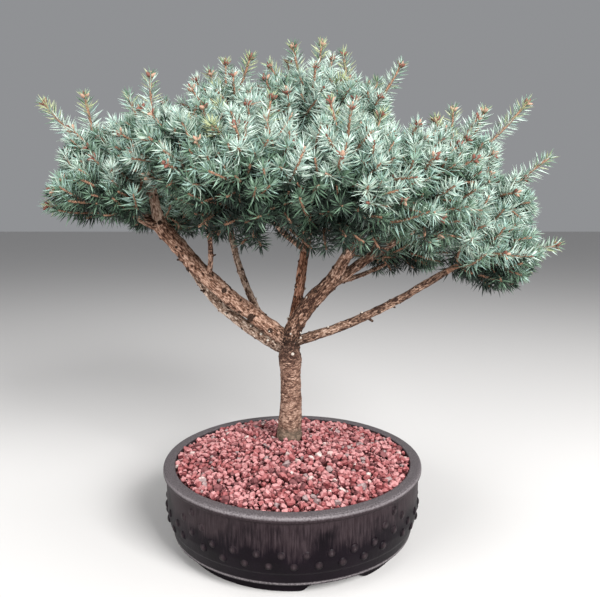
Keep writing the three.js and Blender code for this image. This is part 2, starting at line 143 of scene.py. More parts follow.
eye_mm = np.array([7.7, -600, 321.7])
eye_dip_deg = 7.7
sensor_mm = 36.0
focal_per_width = 611.5 / 600
eye = bpy.data.cameras.new("eye")
eye.sensor_width = sensor_mm
eye.lens = sensor_mm * focal_per_width
eye_object = bpy.data.objects.new("eye", eye)
eye_object.location = placed(eye_mm)
eye_object.rotation_euler = (math.radians(90 - eye_dip_deg), 0.0, 0.0)
bpy.context.scene.collection.objects.link(eye_object)
bpy.context.scene.camera = eye_object


# Pot: a round stoneware drum, thrown and turned, on a foot ring with four arches cut in it. Two rows of
# clay studs are stuck on and rise to four peaks. A dark brown-black glaze breaks pale over the edges, and
# painted highlights lie along the lip and the ridge.

pot_outline = [
    (0, 6), (95, 6), (95, 0), (111, 0), (111, 11), (121.5, 12.3), (121.5, 14.7), (123.8, 24), (124.8, 25),
    (127, 36), (127, 70.5), (130, 72.5), (130, 76), (128, 78), (118.6, 77.6), (104, 14), (0, 14),
]
pot_around = 360
pot_corner_mm = 1.4
wall_step_mm = 3.0
hollow_z, floor_z = 6, 14
up = np.array([0, 0, 1.0])


def rounded(outline, cut):
    """The outline with each inner corner turned into a short curve: points (1-t)^2 a + 2t(1-t) corner
    + t^2 b, where a and b lie at most the cut away along its two sides."""
    outline = np.asarray(outline, float)
    t = np.linspace(0, 1, 5)[:, None]
    curve = [outline[:1]]
    for before, corner, after in zip(outline, outline[1:], outline[2:]):
        back, on = before - corner, after - corner
        a = corner + back * min(0.45, cut / np.linalg.norm(back))
        b = corner + on * min(0.45, cut / np.linalg.norm(on))
        curve.append((1 - t) ** 2 * a + 2 * t * (1 - t) * corner + t ** 2 * b)
    return np.concatenate(curve + [outline[-1:]])


def loft(rings, foot, tip):
    """Closed skins of many like shapes at once. Rings has the shape (shapes, rings, round, 3) and runs
    anticlockwise about the way from foot to tip; quads join ring to ring, and fans close the ends at the
    foot and tip points."""
    shapes, stack, around, _ = rings.shape
    points = np.concatenate([rings.reshape(shapes, -1, 3), foot[:, None], tip[:, None]], axis=1)
    here = np.arange(stack * around).reshape(stack, around)
    beside = np.roll(here, -1, axis=1)
    ends = np.full(around, stack * around)
    faces = [
        np.stack([here[:-1], beside[:-1], beside[1:], here[1:]], -1).reshape(-1, 4),
        np.stack([beside[0], here[0], ends], -1),
        np.stack([here[-1], beside[-1], ends + 1], -1),
    ]
    first = np.arange(shapes)[:, None, None] * points.shape[1]
    return points.reshape(-1, 3), [(f[None] + first).reshape(-1, f.shape[1]) for f in faces if len(f)]


def joined(parts):
    """Several (points, faces) pairs as one, with each part's corner numbers moved past those before it."""
    firsts = np.cumsum([0] + [len(points) for points, _ in parts])
    faces = [face + first for (_, group), first in zip(parts, firsts) for face in group]
    return np.concatenate([points for points, _ in parts]), faces


def unit(ways):
    """Each way at unit length."""
    return ways / np.linalg.norm(ways, axis=-1, keepdims=True)


def knobs(at, way, profile, sizes, around, across=None):
    """Small turned knobs: each carries a profile of (radius, rise) pairs, times its size, along its own way
    out. The first point of a ring lies across that way."""
    if across is None:
        across = unit(np.cross(way, np.array([0.21, 0.53, 0.82])))
    other = np.cross(way, across)
    turn = np.linspace(0, 2 * np.pi, around, endpoint=False)
    spokes = np.cos(turn)[:, None] * across[:, None] + np.sin(turn)[:, None] * other[:, None]
    grown = np.asarray(profile, float)[None] * np.reshape(sizes, (-1, 1, 1))
    out, on = np.moveaxis(grown, -1, 0)[..., None, None]
    rings = at[:, None, None] + out[:, 1:-1] * spokes[:, None] + on[:, 1:-1] * way[:, None, None]
    return loft(placed(rings), placed(at + on[:, 0, 0] * way), placed(at + on[:, -1, 0] * way))


arch_count, arch_width, arch_turn, arch_soft = 4, 28, 21, 1.6
pot_profile = rounded(pot_outline, pot_corner_mm)
steps_mm = np.linalg.norm(np.diff(pot_profile, axis=0), axis=1)
pot_along = np.concatenate([[0], np.cumsum(steps_mm)])
fine = np.unique(np.concatenate([pot_along, np.arange(0, pot_along[-1], wall_step_mm)]))
pot_r = np.interp(fine, pot_along, pot_profile[:, 0])[1:-1, None]
pot_z = np.interp(fine, pot_along, pot_profile[:, 1])[1:-1, None]
pot_turn = np.linspace(0, 2 * np.pi, pot_around, endpoint=False)[None]
arch_pitch = 360 / arch_count
from_arch = (np.degrees(pot_turn) + 90 - arch_turn + arch_pitch / 2) % arch_pitch - arch_pitch / 2
arch = 0.5 - 0.5 * np.tanh((np.abs(from_arch) - arch_width / 2) / arch_soft)
out_of_round = 0.25 * np.sin(3 * pot_turn + 1.0) + 0.18 * np.sin(7 * pot_turn + 0.3)
foot_r = 112
ring_z = pot_z + np.maximum(0, hollow_z - pot_z) * arch
ring_r = pot_r + np.where(pot_r > foot_r, out_of_round, 0)
pot_rings = np.stack([ring_r * np.cos(pot_turn), ring_r * np.sin(pot_turn), ring_z], -1)
pot_skin = loft(placed(pot_rings)[None], placed([[0, 0, hollow_z]]), placed([[0, 0, floor_z]]))

# Studs: a place counts pitches from the middle of a swag, and a lift raises it towards the peak at the end.
stud_pitch = math.radians(9.55)
stud_start = math.radians(-88.8)
stud_rows = (
    (42.6, ((0.5, 0), (1.5, 0), (2.5, 0), (3.5, 0), (4.1, 11), (4.712, 20))),
    (32.8, ((0, 0), (1, 0), (2, 0), (3, 0), (4, 3), (4.712, 12))),
)
stud_list = []
for lobe in range(4):
    for height, places in stud_rows:
        for place, lift in places:
            alone = place in (0, places[-1][0])
            for side in (1,) if alone else (1, -1):
                turn = stud_start + lobe * math.pi / 2 + side * place * stud_pitch
                stud_list.append((turn, height + lift))
stud_turn, stud_height = np.array(stud_list).T
(low_r, low_z), (high_r, high_z) = pot_outline[8:10]
wall_r = np.interp(stud_height, (low_z, high_z), (low_r, high_r))
outward = np.stack([np.cos(stud_turn), np.sin(stud_turn), 0 * stud_turn], -1)
sideways = np.stack([-np.sin(stud_turn), np.cos(stud_turn), 0 * stud_turn], -1)
dome = [(0, -1.0), (4.5, -0.5), (3.7, 0.3), (2.9, 0.85), (1.9, 1.25), (0.9, 1.45), (0, 1.5)]
dome_around = 14
stud_foot = outward * wall_r[:, None] + stud_height[:, None] * up
stud_skin = knobs(stud_foot, outward, dome, np.ones(len(stud_turn)), dome_around, sideways)


def over_domes(by_ring, at_tip):
    """A value for each point of every stud: one for each ring, 0 at the foot and one at the tip."""
    one = np.concatenate([np.repeat(by_ring, dome_around), [0, at_tip]])
    return np.tile(one, len(stud_turn))


# How pale the glaze is over an edge, partly where it has run thin and partly painted highlight where the
# light catches the lip and the ridge: bands about the lip and the ridge, the top of the rim, and the crowns
# of the studs. The studs are also worn like the upper wall.
lip = np.exp(-(((ring_r - 130) / 1.6) ** 2) - ((ring_z - 76.6) / 2.0) ** 2)
ridge = np.exp(-(((ring_r - 121.5) / 1.1) ** 2) - ((ring_z - 14.2) / 1.2) ** 2)
rim_top = 0.64 * np.clip((ring_z - 76.4) / 1.0, 0, 1)
thin_and_highlit_pot = np.concatenate([np.clip(np.maximum(lip, rim_top) + 0.85 * ridge, 0, 1).ravel(), [0, 0]])
thin_and_highlit_dome = over_domes([0, 0, 0, 0.12, 0.22], 0.24)
worn_dome = over_domes([0, 0, 0.25, 0.75, 1], 1)


def noise(tree, vector, grain_mm, detail, **more):
    """A cloudy value about a half, with grains of that size."""
    inputs = {"Vector": vector, "Scale": 1000 / grain_mm, "Detail": detail, **more}
    return add_node(tree, "TexNoise", inputs).outputs["Fac"]


def ramp(tree, value, *stops):
    """The colour of a value on a ramp whose stops are pairs of a value and an sRGB hex code."""
    stops = [(spot, linear(code)) for spot, code in stops]
    return add_node(tree, "ValToRGB", {"Fac": value}, stops).outputs["Color"]


def mapped(tree, value, low, high, to_low=0.0, to_high=1.0):
    """The value carried in proportion from low and high over to to_low and to_high, and held at the ends."""
    spans = {"From Min": low, "From Max": high, "To Min": to_low, "To Max": to_high}
    return add_node(tree, "MapRange", {"Value": value, **spans}).outputs["Result"]


def worked(tree, operation, one, other):
    """The sum, the product or the greater of two values, as the operation says."""
    return add_node(tree, "Math", {0: one, 1: other}, operation=operation).outputs[0]


def mixed(tree, share, one, other):
    """Two values mixed: (1 - share) * one + share * other."""
    return add_node(tree, "Mix", {0: share, 2: one, 3: other}).outputs[0]


def tinted(tree, share, one, other, blend="MIX"):
    """Two colours mixed in the same way, or the first multiplied by the other to that share."""
    inputs = {0: share, 6: one, 7: other}
    return add_node(tree, "Mix", inputs, data_type="RGBA", blend_type=blend).outputs[2]


def raised(tree, height, strength, distance):
    """The surface's normal, tilted by the slope of a height."""
    inputs = {"Height": height, "Strength": strength, "Distance": distance}
    return add_node(tree, "Bump", inputs).outputs["Normal"]


def note_values(piece, name, values):
    """Gives each point of a piece a value under that name, for its material to read."""
    layer = piece.data.attributes.new(name, "FLOAT", "POINT")
    layer.data.foreach_set("value", values.astype(np.float32))


# Stoneware glaze, brushed on and fired: satin, streaked downwards by the brush, greyer where the upper wall
# and the studs are worn, and pale where it ran thin, with painted highlights on the lip and the ridge.
streak_mm, cloud_mm, speck_mm = 1.5, 26.0, 1.2
pot_glaze, tree, surface = new_material("brown_black_stoneware_glaze", 0.42, 0.09)
where = add_node(tree, "TexCoord").outputs["Object"]
stretched = add_node(tree, "Mapping", {"Vector": where, "Scale": (1.0, 1.0, 0.1)}).outputs["Vector"]
streaks = noise(tree, stretched, streak_mm, 3.0)
clouds = noise(tree, where, cloud_mm, 2.0)
specks = noise(tree, where, speck_mm, 2.0)
height = add_node(tree, "SeparateXYZ", {"Vector": where}).outputs["Z"]
ragged = mapped(tree, mixed(tree, 0.3, clouds, streaks), 0.35, 0.65, -0.016, 0.016)
upper = mapped(tree, worked(tree, "ADD", height, ragged), 0.045, 0.064)
rubbed = add_node(tree, "Attribute", attribute_name="worn_glaze").outputs["Fac"]
upper = worked(tree, "MAXIMUM", upper, rubbed)
glaze = ramp(tree, clouds, (0.3, "#080408"), (0.7, "#100810"))
worn = ramp(tree, streaks, (0.3, "#21181b"), (0.7, "#342b2e"))
# Pale edges: partly glaze run thin, partly painted highlight on the lip and the ridge.
thin_and_highlit = add_node(tree, "Attribute", attribute_name="thin_glaze_and_highlight").outputs["Fac"]
pale_edge_mix = mapped(tree, worked(tree, "MULTIPLY", thin_and_highlit, specks), 0.1, 0.5)
colour = tinted(tree, pale_edge_mix, tinted(tree, upper, glaze, worn), linear("#777173"))
rough = mapped(tree, streaks, 0.0, 1.0, 0.34, 0.58)
relief = raised(tree, worked(tree, "ADD", streaks, specks), 0.25, 0.0004)
tree.links.new(colour, surface.inputs["Base Color"])
tree.links.new(rough, surface.inputs["Roughness"])
tree.links.new(relief, surface.inputs["Normal"])

pot = new_piece("glazed_pot", *joined([pot_skin, stud_skin]), pot_glaze)
note_values(pot, "thin_glaze_and_highlight", np.concatenate([thin_and_highlit_pot, thin_and_highlit_dome]))
note_values(pot, "worn_glaze", np.concatenate([0 * thin_and_highlit_pot, worn_dome]))
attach(pot, "root")
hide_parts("pot")


# Gravel: the pot is filled with crushed red lava of about 5 to 9 mm, heaped a little round the trunk.
# A bed of fines, painted dark as shadow, lies under two layers of loose stones sorted into their few colours.

def grain(points_mm, cell_mm, seed):
    """A smooth random field from -1 to 1: chances at the corners of a lattice of cells, eased between them by
    3t^2 - 2t^3."""
    cell = np.asarray(points_mm) / cell_mm
    low = np.floor(cell)
    part = cell - low
    ease = part * part * (3 - 2 * part)
    total = 0.0
    for corner in np.ndindex(2, 2, 2):
        wave = np.sin((low + corner) @ np.array([127.1, 311.7, 74.7]) + seed) * 43758.5453
        weight = np.prod(np.where(np.array(corner) == 1, ease, 1 - ease), axis=-1)
        total = total + weight * (2 * (wave - np.floor(wave)) - 1)
    return total


bed_radius, bed_edge, bed_crown = 117.2, 76.4, 87.5
bed_sink, bed_floor = 3.6, 15.0
trunk_foot_xy = np.array([-4.0, 32.0])


def bed_height(xy_mm):
    """Height of the gravel: it falls from the crown to the edge as the cosine of the way out."""
    out = np.clip(np.linalg.norm(xy_mm, axis=-1) / bed_radius, 0, 1)
    return bed_edge + (bed_crown - bed_edge) * np.cos(out * np.pi / 2)


bed_around, bed_stack = 120, 60
bed_foot_r, bed_hole_r = 104.0, 1.5
bed_turn = np.linspace(0, 2 * np.pi, bed_around, endpoint=False)[None]
bed_out = np.concatenate([[bed_foot_r, bed_radius], np.linspace(bed_radius, bed_hole_r, bed_stack)])[:, None]
bed_xy = np.stack([bed_out * np.cos(bed_turn), bed_out * np.sin(bed_turn)], -1)
bed_top = bed_height(bed_xy) - bed_sink + 0.8 * grain(np.dstack([bed_xy, 0 * bed_xy[..., 0]]), 4.0, 5.0)
bed_top[0] = bed_floor
bed_rings = np.concatenate([bed_xy, bed_top[..., None]], -1)
bed_skin = loft(placed(bed_rings)[None], placed([[0, 0, bed_floor]]), placed([[0, 0, bed_crown - bed_sink]]))


def speckled(name, roughness, specular, grain_mm, detail, *stops):
    """A material of that name whose colour follows a ramp over noise with grains of that size."""
    made, tree, surface = new_material(name, roughness, specular)
    where = add_node(tree, "TexCoord").outputs["Object"]
    colour = ramp(tree, noise(tree, where, grain_mm, detail), *stops)
    tree.links.new(colour, surface.inputs["Base Color"])
    return made


# Fines of crushed lava: dull, and painted dark as the shadow in the gaps between the stones.
shadow_bed_fines = speckled("lava_fines_painted_shadow", 0.95, 0.2, 2.5, 4.0, (0.3, "#2a1011"), (0.7, "#5c2b2b"))
bed = new_piece("gravel_bed", *bed_skin, shadow_bed_fines)
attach(bed, "root")
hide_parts("gravel")

rng = np.random.default_rng(41)
golden_turn = math.pi * (3 - math.sqrt(5))
stone_layers = ((1560, 1.2, 2.8), (1650, -1.9, 2.6))
stone_lift, trunk_clear, rim_clear = 1.2, 15.0, 0.8
least_stone, largest_stone = 1.5, 4.8
stone_at, stone_size = [], []
for number, lift, size in stone_layers:
    step = np.arange(number)
    out = bed_radius * np.sqrt((step + 0.5) / number)
    turn = step * golden_turn + lift
    xy = np.stack([out * np.cos(turn), out * np.sin(turn)], -1) + rng.normal(0, 0.8, (number, 2))
    off_trunk = np.linalg.norm(xy - trunk_foot_xy, axis=1) > trunk_clear
    xy = xy[off_trunk & (np.linalg.norm(xy, axis=1) < bed_radius - rim_clear)]
    level = bed_height(xy) - bed_sink + lift + stone_lift + rng.normal(0, 0.9, len(xy))
    stone_at.append(np.column_stack([xy, level]))
    stone_size.append(np.clip(rng.normal(size, 0.8, len(xy)), least_stone, largest_stone))
stone_at = np.concatenate(stone_at)
stone_size = np.concatenate(stone_size)

# One stone: a block whose three by three by three surface points are drawn towards a ball, then chipped. A
# point v is turned by a random quaternion of part w and axle a: v + 2 w (a x v) + 2 a x (a x v).
lattice = np.array([p for p in np.ndindex(3, 3, 3) if p != (1, 1, 1)])
number_of = {tuple(p): i for i, p in enumerate(lattice)}
block_faces = []
for axis in range(3):
    for level in (0, 2):
        for a, b in np.ndindex(2, 2):
            corners = [(a, b), (a + 1, b), (a + 1, b + 1), (a, b + 1)][::1 if level == 2 else -1]
            block_faces.append([number_of[tuple(np.roll((level, *c), axis))] for c in corners])
block = lattice - 1.0
block /= np.linalg.norm(block, axis=1)[:, None] ** 0.7
number = len(stone_at)
spin = unit(rng.normal(size=(number, 4)))[:, None]
stretch = rng.uniform((0.85, 0.75, 0.6), (1.2, 1.05, 0.95), (number, 3))
chipped = block[None] * stretch[:, None] * (1 + rng.uniform(-0.2, 0.16, (number, len(block), 1)))
axle = spin[..., 1:]
across = np.cross(axle, chipped)
turned = chipped + 2 * spin[..., :1] * across + 2 * np.cross(axle, across)
stone_points = stone_at[:, None] + turned * stone_size[:, None, None]

# Crushed lava: dull and pitted, with painted light that makes its upper faces pale and painted shade that
# makes its flanks deep red. The colours are dealt out by stone, and each has a dark and shaded, a middle and
# a lit top tone.
lava_colours = (
    ("lava_rose", 0.56, "#5c2528", "#9a5f60", "#cd9594"),
    ("lava_red", 0.27, "#4f1c1f", "#814243", "#b16d6d"),
    ("lava_dark", 0.1, "#341418", "#5e3436", "#865556"),
    ("lava_grey", 0.05, "#523c3d", "#836d6d", "#a89391"),
    ("lava_pale", 0.02, "#8f6d69", "#c0a5a0", "#dcc7c1"),
)
pit_mm = 2.2
deal = rng.choice(len(lava_colours), number, p=[row[1] for row in lava_colours])
for kind, (name, _, dark_and_shaded_tone, mid_tone, lit_top_tone) in enumerate(lava_colours):
    lava, tree, surface = new_material(name, 0.92, 0.25)
    where = add_node(tree, "TexCoord").outputs["Object"]
    pits = noise(tree, where, pit_mm, 4.0, Roughness=0.65)
    # Painted light and shade: the colour runs paler on faces turned up and deeper red on faces turned down.
    normal = add_node(tree, "NewGeometry").outputs["Normal"]
    facing = add_node(tree, "SeparateXYZ", {"Vector": normal}).outputs["Z"]
    pits_and_light = mixed(tree, 0.55, pits, mapped(tree, facing, -0.5, 1.0))
    colour = ramp(tree, pits_and_light, (0.36, dark_and_shaded_tone), (0.56, mid_tone), (0.76, lit_top_tone))
    tree.links.new(colour, surface.inputs["Base Color"])
    tree.links.new(raised(tree, pits, 0.6, 0.0008), surface.inputs["Normal"])
    mine = stone_points[deal == kind]
    corners = np.array(block_faces)[None] + len(block) * np.arange(len(mine))[:, None, None]
    points = placed(mine).reshape(-1, 3)
    stones = new_piece("stones_" + name, points, [corners.reshape(-1, 4)], lava, smooth=False)
    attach(stones, "root")
    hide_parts("gravel")


# Trunk: a short straight stem with thin scaly bark, a small flare where it enters the gravel and a knuckle
# at the top where the boughs part.

def curve_at(start, control, end, t):
    """Points of quadratic curves, (1-t)^2 start + 2t(1-t) control + t^2 end, and their unit slopes."""
    point = (1 - t) ** 2 * start + 2 * t * (1 - t) * control + t ** 2 * end
    slope = (1 - t) * (control - start) + t * (end - control)
    return point, unit(slope)


askew = np.array([0.31, 0.87, 0.38])


def ringed(points, tangents, radii, around):
    """Rings about the points of a path, square to its tangents. They start from one side that lies across the
    whole path."""
    chord = points[..., -1:, :] - points[..., :1, :]
    across = np.cross(chord, askew)
    side = unit(across - np.sum(across * tangents, -1, keepdims=True) * tangents)
    other = np.cross(tangents, side)
    turn = np.linspace(0, 2 * np.pi, around, endpoint=False)[:, None]
    spokes = np.cos(turn) * side[..., None, :] + np.sin(turn) * other[..., None, :]
    return points[..., None, :] + radii[..., None, None] * spokes, spokes


def bark_relief(points_mm, flatten):
    """Height of bark in mm: curled scales of two sizes, whose edges stand up, over slow swellings. The scales
    are wider than they are high, by the flattening."""
    laid = points_mm * np.array([1, 1, flatten])
    scales = 1 - 2 * np.abs(grain(laid, 3.8, 1.0))
    flakes = 1 - 2 * np.abs(grain(laid, 1.9, 2.0))
    return 0.36 * scales + 0.18 * flakes + 0.5 * grain(points_mm, 8.0, 3.0)


trunk_foot, trunk_head = np.array([-4.0, 32.0, 85.0]), np.array([-4.0, 32.0, 192.0])
trunk_control = (trunk_foot + trunk_head) / 2 + np.array([4.0, 0, 0])
trunk_radii = [13.6, 12.2, 11.8, 11.5, 11.1, 10.6, 10.4, 10.8, 11.7, 11.0, 9.0]
trunk_stack, trunk_around, eased_rings = 150, 72, 13
t = np.linspace(0, 1, trunk_stack)[:, None]
path, slope = curve_at(trunk_foot, trunk_control, trunk_head, t)
radius = np.interp(t[:, 0], np.linspace(0, 1, len(trunk_radii)), trunk_radii)
radius = np.pad(radius, eased_rings // 2, mode="edge")
radius = np.convolve(radius, np.ones(eased_rings) / eased_rings, mode="valid")
trunk_rings, spokes = ringed(path, slope, radius, trunk_around)
knuckle = np.clip((t[:, 0] - 0.76) / 0.16, 0, 1)[:, None]
scale_flatten = 2.2
lift = bark_relief(trunk_rings, scale_flatten) + 2.2 * knuckle * grain(trunk_rings, 5.0, 8.0)
trunk_rings = trunk_rings + (0.9 * lift)[..., None] * spokes
trunk_top = trunk_head + 2 * up
trunk_skin = loft(placed(trunk_rings)[None], placed(trunk_foot)[None], placed(trunk_top)[None])


def bark_material(name, cells, tones, crack, mid, pale, dark_and_shaded_tone=None):
    """Spruce bark: thin dry scales, pale on some faces and brown on others, dark in the cracks between, quite
    without gloss, with painted shade in the creases of the knuckle and, given a shaded tone, at the foot.
    Cells is how strongly the scales show as cells, and tones is where the three colours lie."""
    scale_mm, fleck_mm, patch_mm = 2.9, 1.3, 8.0
    knuckle_shade_m, foot_shade_m = (0.010, 0.027), (0.094, 0.101)
    made, tree, surface = new_material(name, 0.9, 0.15)
    where = add_node(tree, "TexCoord").outputs["Object"]
    laid = add_node(tree, "Attribute", attribute_name="bark_grain").outputs["Vector"]
    pale_bark = add_node(tree, "Attribute", attribute_name="pale_bark").outputs["Fac"]
    rosy = add_node(tree, "Attribute", attribute_name="rosy_bark").outputs["Fac"]
    cell = {"Vector": laid, "Scale": 1000 / scale_mm}
    shed = add_node(tree, "TexVoronoi", cell).outputs["Color"]
    edges = add_node(tree, "TexVoronoi", cell, feature="DISTANCE_TO_EDGE").outputs["Distance"]
    flecks = noise(tree, laid, fleck_mm, 3.0)
    patches = noise(tree, laid, patch_mm, 3.0)
    tone = mixed(tree, 0.25, mixed(tree, cells, flecks, shed), patches)
    tone = worked(tree, "ADD", pale_bark, tone)
    scales = ramp(tree, tone, (tones[0], crack), (tones[2], pale), (tones[1], mid))
    gaps = mapped(tree, edges, 0.0, 0.12, 1.4 * cells, 0.0)
    colour = tinted(tree, gaps, scales, linear(crack))
    colour = tinted(tree, rosy, colour, linear("#f7d2c2"), "MULTIPLY")
    # Painted shade: the bark darkens towards the knuckle, in the creases between the boughs.
    knot = tuple(placed(trunk_head - 2 * up))
    off = add_node(tree, "VectorMath", {0: where, 1: knot}, operation="DISTANCE").outputs["Value"]
    near = mapped(tree, off, *knuckle_shade_m, 1.0, 0.0)
    knuckle_shade = worked(tree, "MULTIPLY", near, mapped(tree, flecks, 0.4, 0.6, 0.95, 0.3))
    colour = tinted(tree, knuckle_shade, colour, linear("#1d1511"))
    # Painted shade at the foot, where the trunk enters the gravel.
    if dark_and_shaded_tone:
        height = add_node(tree, "SeparateXYZ", {"Vector": where}).outputs["Z"]
        colour = tinted(tree, mapped(tree, height, *foot_shade_m, 0.6, 0.0), colour, linear(dark_and_shaded_tone))
    relief = raised(tree, worked(tree, "ADD", edges, flecks), 0.7, 0.0008)
    tree.links.new(colour, surface.inputs["Base Color"])
    tree.links.new(relief, surface.inputs["Normal"])
    return made


def note_bark(piece, grain_m, pale, rosy):
    """Gives each point of a barked piece its place in the grain, in metres, and how pale and rosy it is."""
    layer = piece.data.attributes.new("bark_grain", "FLOAT_VECTOR", "POINT")
    layer.data.foreach_set("vector", grain_m.astype(np.float32).ravel())
    note_values(piece, "pale_bark", pale)
    note_values(piece, "rosy_bark", rosy)


# The last tone is painted shade for the trunk's foot, where it enters the gravel.
trunk_tones = ("#3b2822", "#795b4d", "#b59684", "#5f574b")
trunk_bark = bark_material("scaly_spruce_bark", 0.4, (0.34, 0.47, 0.62), *trunk_tones)
trunk = new_piece("trunk_bark", *trunk_skin, trunk_bark)
pale_heights_mm = (88, 98, 108, 122, 132, 165, 175, 190)
pale_shares = (-0.05, -0.03, 0.01, 0.005, -0.035, -0.035, -0.085, -0.11)
trunk_pale = np.interp(1000 * trunk_skin[0][:, 2], pale_heights_mm, pale_shares)
note_bark(trunk, trunk_skin[0] * np.array([1, 1, scale_flatten]), trunk_pale, 0 * trunk_pale)
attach(trunk, "root")
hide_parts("trunk")


# Boughs: bare limbs of tan bark that part at the knuckle and fork again below the foliage. Each swells
# where it leaves its parent and at the scars of shoots that were cut off it.

boughs = {
    "left_main": ("trunk", 1.0, (-132, 8, 314), (-4, 0, -16), 7.6, 6.0),
    "right_main": ("trunk", 1.0, (42, 11, 259), (-11, 0, 0), 7.4, 6.4),
    "left_low": ("trunk", 0.9, (-138, 108, 292), (-7, -30, -27), 5.6, 3.6),
    "right_low": ("trunk", 0.97, (150, -8, 268), (6, 0, -11), 4.6, 3.0),
    "centre": ("trunk", 1.0, (22, 68, 372), (8, 8, 0), 5.2, 3.4),
    "left_rise": ("left_main", 0.97, (-137, 4, 366), (-6, 0, 0), 5.0, 3.4),
    "left_outer": ("left_main", 0.93, (-178, 26, 352), (0, 6, -6), 4.2, 2.8),
    "left_side": ("left_main", 0.98, (-166, -8, 332), (0, -2, -4), 4.2, 2.8),
    "left_front": ("left_main", 0.62, (-76, -44, 314), (6, 0, 4), 2.6, 2.0),
    "left_inner": ("left_main", 0.2, (-74, 78, 390), (-26, 26, -10), 3.8, 2.6),
    "back_left": ("left_inner", 0.5, (-88, 112, 350), (0, 0, -8), 2.8, 2.2),
    "centre_right": ("centre", 0.62, (64, 54, 378), (8, 0, -8), 3.2, 2.4),
    "centre_front": ("centre", 0.52, (-26, -36, 326), (0, 0, -4), 3.2, 2.4),
    "centre_back": ("centre", 0.56, (14, 116, 348), (0, 6, -6), 3.2, 2.4),
    "right_upper": ("right_main", 0.98, (66, -40, 312), (3, 4, 4), 5.4, 3.6),
    "right_outer": ("right_main", 0.85, (150, 31, 330), (0, 0, -2), 5.2, 3.6),
    "right_inner": ("right_upper", 0.6, (98, -40, 322), (4, 0, -4), 3.4, 2.4),
    "right_far": ("right_outer", 0.78, (190, 26, 342), (6, 0, -4), 3.4, 2.4),
    "right_back": ("right_main", 0.93, (100, 86, 266), (0, 0, -6), 2.8, 2.0),
    "back_right": ("right_outer", 0.42, (106, 102, 346), (0, 0, -8), 3.2, 2.2),
}
bough_curves = {"trunk": (trunk_foot, trunk_control, trunk_head)}
pale_and_rosy = {
    "left_low": (0.02, 0.0), "right_low": (-0.05, 0.2), "left_main": (0.01, 0.55), "left_rise": (0.02, 0.3),
    "right_main": (-0.08, 0.4), "centre": (-0.02, 1.0), "left_inner": (0.0, 0.1),
}
other_bark = (-0.02, 0.4)

# Some limbs have thickened more than others: by these shares at the foot and at the tip.
stouter = {
    "left_main": (1.04, 1.32), "left_low": (1.15, 1.15), "left_rise": (1.15, 1.0), "right_main": (1.2, 1.2),
    "right_upper": (1.15, 1.15), "right_low": (1.12, 1.08), "centre": (1.0, 1.25),
}
as_drawn = (1.0, 1.0)
grain_stretch = 0.4
ring_mm, bough_around = 1.5, 26
scar_spacing_mm = 7.5
bough_skins, bough_grains, bough_looks = [], [], []
scar_at, scar_way, scar_size = [], [], []
for number, (name, (parent, at, tip, bow, thick, thin_end)) in enumerate(boughs.items()):
    start = curve_at(*bough_curves[parent], at)[0]
    end = np.array(tip, float)
    control = (start + end) / 2 + np.array(bow, float)
    bough_curves[name] = (start, control, end)
    length = np.linalg.norm(end - control) + np.linalg.norm(control - start)
    rings = int(length / ring_mm)
    t = np.linspace(0, 1, rings)[:, None]
    path, slope = curve_at(start, control, end, t)
    along = t[:, 0] * length
    run = np.stack([along, 0 * along, 0 * along + 50 * number], -1)
    sway = np.stack([grain(run, 26.0, seed) for seed in (4.0, 5.0, 6.0)], -1)
    path = path + 0.22 * thick * sway * np.sin(np.pi * t) ** 0.5
    slope = unit(np.gradient(path, axis=0))
    scars = np.arange(8.0, length - 6, scar_spacing_mm)
    scars = scars + rng.uniform(-4, 4, len(scars))
    nodes = np.exp(-((along[:, None] - scars[None]) / 3.0) ** 2).sum(1)
    collar = 0.32 * np.exp(-along / 9.0)
    stout = np.interp(t[:, 0], (0, 1), stouter.get(name, as_drawn))
    radius = (thick + (thin_end - thick) * t[:, 0]) * stout * (0.97 + collar + 0.06 * nodes)
    skin, spokes = ringed(path, slope, radius, bough_around)
    turn = np.linspace(0, 2 * np.pi, bough_around, endpoint=False)
    wide = radius[:, None]
    straight = np.stack([wide * np.cos(turn), wide * np.sin(turn), along[:, None] + 0 * turn], -1)
    straight = straight + np.array([60.0 * number, 0, 0])
    lift = 0.55 * bark_relief(straight, grain_stretch) * min(1.0, 0.4 + thick / 9)
    skin = skin + lift[..., None] * spokes
    straight = np.concatenate([straight.reshape(-1, 3), straight[0, :1], straight[-1, :1]])
    bough_grains.append(straight * np.array([1, 1, grain_stretch]) / 1000)
    bough_looks.append(np.tile(pale_and_rosy.get(name, other_bark), (len(straight), 1)))
    blunt_end = path[-1:] + slope[-1:] * thin_end * 0.4
    bough_skins.append(loft(placed(skin)[None], placed(path[:1]), placed(blunt_end)))
    if len(scars):
        row = np.clip(np.searchsorted(along, scars), 1, rings - 1)
        col = (np.arange(len(scars)) * 10 + rng.integers(0, 5, len(scars)) + number) % bough_around
        scar_at.append(skin[row, col])
        scar_way.append(spokes[row, col] + 0.5 * slope[row])
        scar_size.append((0.5 + 0.12 * radius[row]) * rng.uniform(0.55, 1.35, len(scars)))

bough_bark = bark_material("tan_bough_bark", 0.22, (0.39, 0.49, 0.62), "#33241e", "#806757", "#cdb8a8")
bough_piece = new_piece("bough_bark", *joined(bough_skins), bough_bark)
note_bark(bough_piece, np.concatenate(bough_grains), *np.concatenate(bough_looks).T)
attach(bough_piece, "root")
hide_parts(*["bough_" + name for name in boughs])

# Scars: stubs of cut shoots, healed nearly black, with drops of white resin wept from some. Most lie along
# the boughs by rule, and the old cuts and the big drops have places of their own.
scar_at, scar_way, scar_size = (np.concatenate(rows) for rows in (scar_at, scar_way, scar_size))
scar_way = unit(scar_way)
stub_profile = [(0, -1.0), (1.5, -0.6), (1.35, 0.2), (0.9, 0.45), (0, 0.5)]

